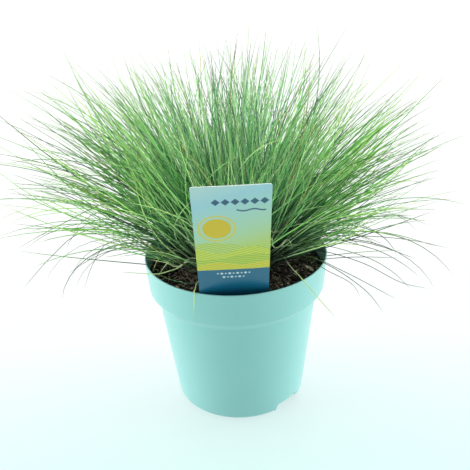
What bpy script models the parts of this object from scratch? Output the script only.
"""Potted blue fescue clump: a tapered nursery pot with a deep collar, its potting soil, a plant label that
leans on the rim, and a tussock of fine leaves that grows in tufts from a low crown.

Metres, +Z up. The origin is at the middle of the pot's underside. -Y is the front, where the label stands.
An azimuth is counted from the front towards +X.
"""

import math
import random

import bmesh
import bpy
from mathutils import Matrix, Vector, noise

# Space left between pieces that touch
CLEARANCE = 0.0003

# Making of meshes: points this close become one, and edges turned by more than this stay sharp
MERGE_DISTANCE = 1e-6
SHARP_EDGE = math.radians(40)

# Pot
POT_HEIGHT = 0.1215
RIM_RADIUS = 0.0700
COLLAR_HEIGHT = 0.0251
COLLAR_FOOT_RADIUS = 0.0680
CHAMFER_HEIGHT = 0.0070
BODY_TOP_RADIUS = 0.0620
BASE_RADIUS = 0.0512
BASE_ROUNDING = 0.0040
WALL = 0.0012
FLOOR = 0.0015
POT_SEGMENTS = 40
ROUNDING_STEPS = 3
SECTOR_STEPS = 6
COLLAR_FOOT_Z = POT_HEIGHT - COLLAR_HEIGHT
BODY_TOP_Z = COLLAR_FOOT_Z - CHAMFER_HEIGHT

# Drain notches in the pot's foot, one on each side, each with a slot through the floor at one end
NOTCH_AZIMUTHS = (math.radians(44.3), math.radians(224.3))
NOTCH_HALF_ANGLE = math.radians(12.7)
NOTCH_HEIGHT = 0.0070
NOTCH_INNER_RADIUS = 0.0400
SLOT_HALF_ANGLE = math.radians(5.5)
SLOT_INNER_RADIUS = 0.0450
SLOT_HEIGHT = 0.0040

# Round drain holes in the pot's floor
DRAIN_HOLES = 6
DRAIN_HOLE_RADIUS = 0.0040
DRAIN_HOLE_CIRCLE = 0.0330
DRAIN_HOLE_SEGMENTS = 12
FIRST_HOLE_AZIMUTH = NOTCH_AZIMUTHS[0] + math.pi / DRAIN_HOLES
DRAIN_CUTTER_DEPTH = 3 * FLOOR
POT_COLOUR = (149, 210, 205)
POT_ROUGHNESS = 0.38

# Soil
SOIL_TOP = 0.1075
SOIL_LUMPS = 0.0009
LUMP_SIZE = 0.011
SOIL_RINGS = (0.0440, 0.0520, 0.0600)
SOIL_COLOUR = (52, 40, 32)
SOIL_ROUGHNESS = 0.95

# Label
LABEL_WIDTH = 0.0475
LABEL_THICKNESS = 0.0005
LABEL_ABOVE_RIM = 0.1005
LABEL_SHOULDER_DEPTH = 0.0190
LABEL_TIP_DEPTH = 0.0430
LABEL_TIP_WIDTH = 0.0060
LABEL_CORNER = 0.0012
LABEL_AT_RIM = Vector((-0.0021, -0.0624, POT_HEIGHT))
LABEL_LEAN = math.radians(24.0)
LABEL_YAW = math.radians(1.3)
LABEL_COLOUR = (170, 200, 190)
LABEL_ROUGHNESS = 0.35

# Crown, a little behind the pot's middle
CROWN_CENTRE = Vector((0, 0.0040, 0))
CROWN_RADIUS = 0.0290
CROWN_EDGE = 0.0025
CROWN_RISE = 0.0080
CROWN_SEGMENTS = 20
CROWN_RINGS = 3
CROWN_COLOUR = (120, 108, 72)
CROWN_ROUGHNESS = 0.85

# Leaves
TUFTS = 42
LEAVES_PER_TUFT = 7
LEAF_BANDS = 4
TUFT_DISC_RADIUS = 0.0245
TUFT_FOOT_RADIUS = 0.0026
TUFT_NECK_RADIUS = 0.0023
TUFT_NECK_HEIGHT = 0.0030
TUFT_SPREAD = 0.0031
TUFT_SCATTER = 0.6
GOLDEN_ANGLE = math.pi * (3 - math.sqrt(5))
LEAF_LENGTH = 0.166
OUTER_SHORTENING = 0.15
SHORTENING_POWER = 5
SIDE_GAIN = 0.144
LEFT_GAIN = 0.057
SWELL_POWER = 2.4
SHORTEST_LEAF = 0.74
LENGTH_CHANCE_POWER = 1.5
LEAF_COLOURS = ((104, 148, 132), (112, 160, 108), (96, 140, 146))
LEAF_ROUGHNESS = 0.55
LABEL_SIDE_LEAN = math.radians(36)
OPEN_SIDE_LEAN = math.radians(102)
LABEL_SIDE_ENDS = math.radians(22)
OPEN_SIDE_STARTS = math.radians(74)
ROOT_LEAN_SHARE = 0.58
LARGEST_ROOT_LEAN = math.radians(56)
LEAST_DROOP = math.radians(16)
LARGEST_DROOP = math.radians(60)
DROOP_POWER = 6
BEND_POWER = 1.4
FLARE = 1.15
TAPER = 0.62
SEED = 168


def srgb(red, green, blue):
    """Linear RGBA of an 8-bit screen colour."""
    def linear(value):
        value /= 255
        return value / 12.92 if value <= 0.04045 else ((value + 0.055) / 1.055) ** 2.4
    return (linear(red), linear(green), linear(blue), 1.0)


def material(name, colour, roughness):
    made = bpy.data.materials.new(name)
    made.use_nodes = True
    shader = made.node_tree.nodes["Principled BSDF"]
    shader.inputs["Base Color"].default_value = colour
    shader.inputs["Roughness"].default_value = roughness
    shader.inputs["Metallic"].default_value = 0.0
    made.diffuse_color = colour
    return made


def add_object(name, bm, surface=None):
    """Turns a bmesh into a scene object, with smooth shading on its round faces."""
    bmesh.ops.recalc_face_normals(bm, faces=bm.faces)
    mesh = bpy.data.meshes.new(name)
    bm.to_mesh(mesh)
    bm.free()
    mesh.shade_smooth()
    mesh.set_sharp_from_angle(angle=SHARP_EDGE)
    if surface:
        mesh.materials.append(surface)
    made = bpy.data.objects.new(name, mesh)
    bpy.context.scene.collection.objects.link(made)
    return made


def boolean(target, tool, operation):
    """Adds a Boolean that keeps the tool as a hidden wire guide."""
    tool.hide_render = True
    tool.display_type = "WIRE"
    modifier = target.modifiers.new(f"{operation.lower()} {tool.name}", "BOOLEAN")
    modifier.operation = operation
    modifier.solver = "EXACT"
    modifier.object = tool


def turned(outline, segments):
    """Closed solid turned about Z from an outline of (radius, z) points that starts and ends on the axis."""
    bm = bmesh.new()
    points = [bm.verts.new((radius, 0, z)) for radius, z in outline]
    edges = [bm.edges.new(pair) for pair in zip(points, points[1:])]
    bmesh.ops.spin(bm, geom=points + edges, cent=(0, 0, 0), axis=(0, 0, 1), angle=math.tau,
                   steps=segments, use_merge=True)
    bmesh.ops.remove_doubles(bm, verts=bm.verts, dist=MERGE_DISTANCE)
    return bm


def prism(outline, direction):
    """Closed solid of a flat outline of points, extruded along direction."""
    bm = bmesh.new()
    face = bm.faces.new([bm.verts.new(point) for point in outline])
    extruded = bmesh.ops.extrude_face_region(bm, geom=[face], use_keep_orig=True)
    moved = [item for item in extruded["geom"] if isinstance(item, bmesh.types.BMVert)]
    bmesh.ops.translate(bm, verts=moved, vec=direction)
    return bm


def around(azimuth, radius, z):
    return Vector((radius * math.sin(azimuth), -radius * math.cos(azimuth), z))


def sector(azimuth, half_angle, inner, outer, low, high):
    """Block of an annular sector about the pot's axis."""
    angles = [azimuth + half_angle * (2 * step / SECTOR_STEPS - 1) for step in range(SECTOR_STEPS + 1)]
    outline = [around(angle, outer, low) for angle in angles]
    outline += [around(angle, inner, low) for angle in reversed(angles)]
    return prism(outline, Vector((0, 0, high - low)))


def collar_radius(z):
    share = (z - COLLAR_FOOT_Z) / COLLAR_HEIGHT
    return COLLAR_FOOT_RADIUS + share * (RIM_RADIUS - COLLAR_FOOT_RADIUS)


def pot_outline(inset, floor, top):
    """Half section along the pot's floor and up its wall to height top, moved in by inset."""
    outline = [(0, floor)]
    for step in range(ROUNDING_STEPS + 1):
        angle = math.pi / 2 * step / ROUNDING_STEPS
        radius = BASE_RADIUS - inset - BASE_ROUNDING * (1 - math.sin(angle))
        outline.append((radius, floor + BASE_ROUNDING * (1 - math.cos(angle))))
    outline.append((BODY_TOP_RADIUS - inset, BODY_TOP_Z))
    outline.append((COLLAR_FOOT_RADIUS - inset, COLLAR_FOOT_Z))
    outline.append((collar_radius(top) - inset, top))
    return outline


def make_pot():
    """Thin-walled pot with two raised notches in its foot and drain holes in its floor."""
    outside = pot_outline(0, 0, POT_HEIGHT)
    inside = pot_outline(WALL, FLOOR, POT_HEIGHT)
    pot = add_object("pot", turned(outside + inside[::-1], POT_SEGMENTS),
                     material("pot plastic", srgb(*POT_COLOUR), POT_ROUGHNESS))
    for number, azimuth in enumerate(NOTCH_AZIMUTHS, 1):
        wall_angle = WALL / NOTCH_INNER_RADIUS
        housing = sector(azimuth, NOTCH_HALF_ANGLE + wall_angle, NOTCH_INNER_RADIUS - WALL,
                         BASE_RADIUS - WALL / 2, FLOOR / 2, NOTCH_HEIGHT + WALL)
        boolean(pot, add_object(f"notch housing {number}", housing), "UNION")
    for number, azimuth in enumerate(NOTCH_AZIMUTHS, 1):
        notch = sector(azimuth, NOTCH_HALF_ANGLE, NOTCH_INNER_RADIUS, RIM_RADIUS, -FLOOR, NOTCH_HEIGHT)
        boolean(pot, add_object(f"notch cutter {number}", notch), "DIFFERENCE")
        slot = sector(azimuth + NOTCH_HALF_ANGLE, SLOT_HALF_ANGLE, SLOT_INNER_RADIUS, RIM_RADIUS,
                      -FLOOR, SLOT_HEIGHT)
        boolean(pot, add_object(f"slot cutter {number}", slot), "DIFFERENCE")
    for number in range(DRAIN_HOLES):
        azimuth = FIRST_HOLE_AZIMUTH + number * math.tau / DRAIN_HOLES
        place = Matrix.Translation(around(azimuth, DRAIN_HOLE_CIRCLE, FLOOR / 2))
        hole = bmesh.new()
        bmesh.ops.create_cone(hole, cap_ends=True, segments=DRAIN_HOLE_SEGMENTS,
                              radius1=DRAIN_HOLE_RADIUS, radius2=DRAIN_HOLE_RADIUS,
                              depth=DRAIN_CUTTER_DEPTH, matrix=place)
        boolean(pot, add_object(f"drain cutter {number + 1}", hole), "DIFFERENCE")
    return pot


def label_outline(grow=0.0, above=LABEL_ABOVE_RIM):
    """The label's outline in its own XZ plane, grown by a margin; z is 0 where it passes the rim."""
    half = LABEL_WIDTH / 2 + grow
    tip = LABEL_TIP_WIDTH / 2 + grow
    corner = LABEL_CORNER
    right_side = [(tip, -LABEL_TIP_DEPTH - grow), (half, -LABEL_SHOULDER_DEPTH - grow),
                  (half, above - corner), (half - corner, above)]
    left_side = [(-x, z) for x, z in reversed(right_side)]
    return right_side + left_side


def label_solid(grow=0.0, above=LABEL_ABOVE_RIM):
    """The label's plate, or with a margin the space that it takes."""
    thickness = LABEL_THICKNESS + 2 * grow
    outline = [Vector((x, -thickness / 2, z)) for x, z in label_outline(grow, above)]
    return prism(outline, Vector((0, thickness, 0)))


def label_placement():
    """Leans the label forward over the rim, turned a little to one side."""
    yaw = Matrix.Rotation(LABEL_YAW, 4, "Z")
    lean = Matrix.Rotation(LABEL_LEAN, 4, "X")
    return Matrix.Translation(LABEL_AT_RIM) @ yaw @ lean


def make_label():
    label = add_object("plant_label", label_solid(),
                       material("label card", srgb(*LABEL_COLOUR), LABEL_ROUGHNESS))
    label.matrix_world = label_placement()
    return label


def make_soil():
    """Soil that fills the pot, uneven between the crown and the wall, with a slit for the label."""
    outline = pot_outline(WALL + CLEARANCE, FLOOR + CLEARANCE, SOIL_TOP)
    outline += [(radius, SOIL_TOP) for radius in reversed(SOIL_RINGS)]
    outline.append((0, SOIL_TOP))
    bm = turned(outline, POT_SEGMENTS)
    for vertex in bm.verts:
        spot = vertex.co
        if spot.z > SOIL_TOP - CLEARANCE and spot.xy.length > SOIL_RINGS[0] + CLEARANCE:
            spot.z += SOIL_LUMPS * noise.noise(spot / LUMP_SIZE)
    soil = add_object("potting_soil", bm, material("potting soil", srgb(*SOIL_COLOUR), SOIL_ROUGHNESS))
    for number, azimuth in enumerate(NOTCH_AZIMUTHS, 1):
        margin = WALL + 2 * CLEARANCE
        recess = sector(azimuth, NOTCH_HALF_ANGLE + margin / NOTCH_INNER_RADIUS,
                        NOTCH_INNER_RADIUS - margin, RIM_RADIUS, 0, NOTCH_HEIGHT + margin)
        boolean(soil, add_object(f"notch recess {number}", recess), "DIFFERENCE")
    slit = add_object("label slit", label_solid(CLEARANCE, above=0))
    slit.matrix_world = label_placement()
    boolean(soil, slit, "DIFFERENCE")
    return soil


def crown_height(radius):
    return SOIL_TOP + CLEARANCE + CROWN_EDGE + CROWN_RISE * (1 - (radius / CROWN_RADIUS) ** 2)


def make_crown():
    """Low dome of old leaf bases, on the soil."""
    radii = [CROWN_RADIUS * ring / CROWN_RINGS for ring in range(CROWN_RINGS + 1)]
    outline = [(0, SOIL_TOP + CLEARANCE), (CROWN_RADIUS, SOIL_TOP + CLEARANCE)]
    outline += [(radius, crown_height(radius)) for radius in reversed(radii)]
    bm = turned(outline, CROWN_SEGMENTS)
    bmesh.ops.translate(bm, verts=bm.verts, vec=CROWN_CENTRE)
    return add_object("crown", bm, material("crown", srgb(*CROWN_COLOUR), CROWN_ROUGHNESS))


def smooth_step(low, high, value):
    share = min(max((value - low) / (high - low), 0), 1)
    return share * share * (3 - 2 * share)


def openness(azimuth):
    """0 behind the label, which holds the leaves up, and 1 round the sides and the back."""
    from_front = abs(math.remainder(azimuth, math.tau))
    return smooth_step(LABEL_SIDE_ENDS, OPEN_SIDE_STARTS, from_front)


def tip_lean(spread, azimuth):
    """Lean at a leaf's tip: the leaves divide the dome of directions evenly, from its top at spread 0."""
    widest = LABEL_SIDE_LEAN + openness(azimuth) * (OPEN_SIDE_LEAN - LABEL_SIDE_LEAN)
    return math.acos(1 - spread ** 2 * (1 - math.cos(widest)))


def leaf_length(spread, azimuth):
    """Longest leaf at a spot: the clump is fuller on its two sides, most of all on the left."""
    swell = math.sin(math.pi * min(spread, 1) ** SWELL_POWER)
    fuller = 1 + swell * (SIDE_GAIN * math.sin(azimuth) ** 2 - LEFT_GAIN * math.sin(azimuth))
    return LEAF_LENGTH * (1 - OUTER_SHORTENING * spread ** SHORTENING_POWER) * fuller


def leaf_frames(start, spread, azimuth, length, droop):
    """Frames along a leaf, after the one it starts from, with Z along the leaf."""
    lean_there = tip_lean(spread, azimuth) + droop * min(spread, 1) ** DROOP_POWER
    lean_here = min(ROOT_LEAN_SHARE * tip_lean(spread, azimuth), LARGEST_ROOT_LEAN)

    def direction(share):
        lean = lean_here + (lean_there - lean_here) * share ** BEND_POWER
        return around(azimuth, math.sin(lean), math.cos(lean))

    point = start.translation
    turn = start.to_3x3()
    along = turn.col[2]
    frames = []
    for band in range(LEAF_BANDS):
        point = point + direction((band + 0.5) / LEAF_BANDS) * length / LEAF_BANDS
        onward = direction((band + 1) / LEAF_BANDS)
        turn = along.rotation_difference(onward).to_matrix() @ turn
        along = onward
        frames.append(Matrix.Translation(point) @ turn.to_4x4())
    return frames


def grow_leaf(bm, face, frames, start):
    """Extrudes one face of a tuft's neck along the frames, thinner and thinner, to a point."""
    before = start
    for band, frame in enumerate(frames, 1):
        face = bmesh.ops.extrude_discrete_faces(bm, faces=[face])["faces"][0]
        shrink = FLARE if band == 1 else 1 - (1 - TAPER) * band / (band + 1)
        change = frame @ Matrix.Scale(shrink, 4) @ before.inverted()
        bmesh.ops.transform(bm, matrix=change, verts=face.verts)
        before = frame
    bmesh.ops.pointmerge(bm, verts=face.verts, merge_co=frames[-1].translation)


def make_tuft(index, chance, surface):
    """One tuft: a short neck on the crown whose top divides into leaves."""
    radius = TUFT_DISC_RADIUS * math.sqrt((index + 0.5) / TUFTS)
    foot = around(index * GOLDEN_ANGLE, radius, crown_height(radius) + CLEARANCE)
    steepness = 2 * CROWN_RISE / CROWN_RADIUS ** 2
    normal = Vector((steepness * foot.x, steepness * foot.y, 1)).normalized()
    bm = bmesh.new()
    bmesh.ops.create_cone(bm, cap_ends=True, segments=LEAVES_PER_TUFT, radius1=TUFT_FOOT_RADIUS,
                          radius2=TUFT_NECK_RADIUS, depth=TUFT_NECK_HEIGHT)
    seat = Matrix.Translation(foot + normal * (CLEARANCE / 2 + TUFT_NECK_HEIGHT / 2))
    bmesh.ops.transform(bm, matrix=seat @ normal.to_track_quat("Z", "Y").to_matrix().to_4x4(),
                        verts=bm.verts)
    top = max(bm.faces, key=lambda face: face.normal.dot(normal))
    middle = top.calc_center_median()
    droop = chance.uniform(LEAST_DROOP, LARGEST_DROOP) * openness(index * GOLDEN_ANGLE)
    for face in bmesh.ops.poke(bm, faces=[top])["faces"]:
        outward = face.calc_center_median() - middle
        spot = foot + outward.normalized() * TUFT_SPREAD * (1 - TUFT_SCATTER * chance.random())
        spread = spot.xy.length / TUFT_DISC_RADIUS
        azimuth = math.atan2(spot.x, -spot.y)
        shortening = (1 - SHORTEST_LEAF) * chance.random() ** LENGTH_CHANCE_POWER
        length = leaf_length(spread, azimuth) * (1 - shortening)
        start = Matrix.Translation(face.calc_center_median()) \
            @ face.normal.to_track_quat("Z", "Y").to_matrix().to_4x4()
        grow_leaf(bm, face, leaf_frames(start, spread, azimuth, length, droop), start)
    bmesh.ops.translate(bm, verts=bm.verts, vec=CROWN_CENTRE)
    return add_object(f"leaf_tuft_{index + 1:02d}", bm, surface)


def make_clump():
    """Tufts set on the crown like the seeds of a sunflower, so that they spread evenly."""
    chance = random.Random(SEED)
    leaves = [material(f"fescue leaf {number}", srgb(*colour), LEAF_ROUGHNESS)
              for number, colour in enumerate(LEAF_COLOURS, 1)]
    return [make_tuft(index, chance, leaves[index % len(leaves)]) for index in range(TUFTS)]


def main():
    for old in list(bpy.data.objects):
        bpy.data.objects.remove(old, do_unlink=True)
    plant = bpy.data.objects.new("potted blue fescue clump", None)
    bpy.context.scene.collection.objects.link(plant)
    for piece in [make_pot(), make_soil(), make_label(), make_crown()] + make_clump():
        piece.parent = plant


main()
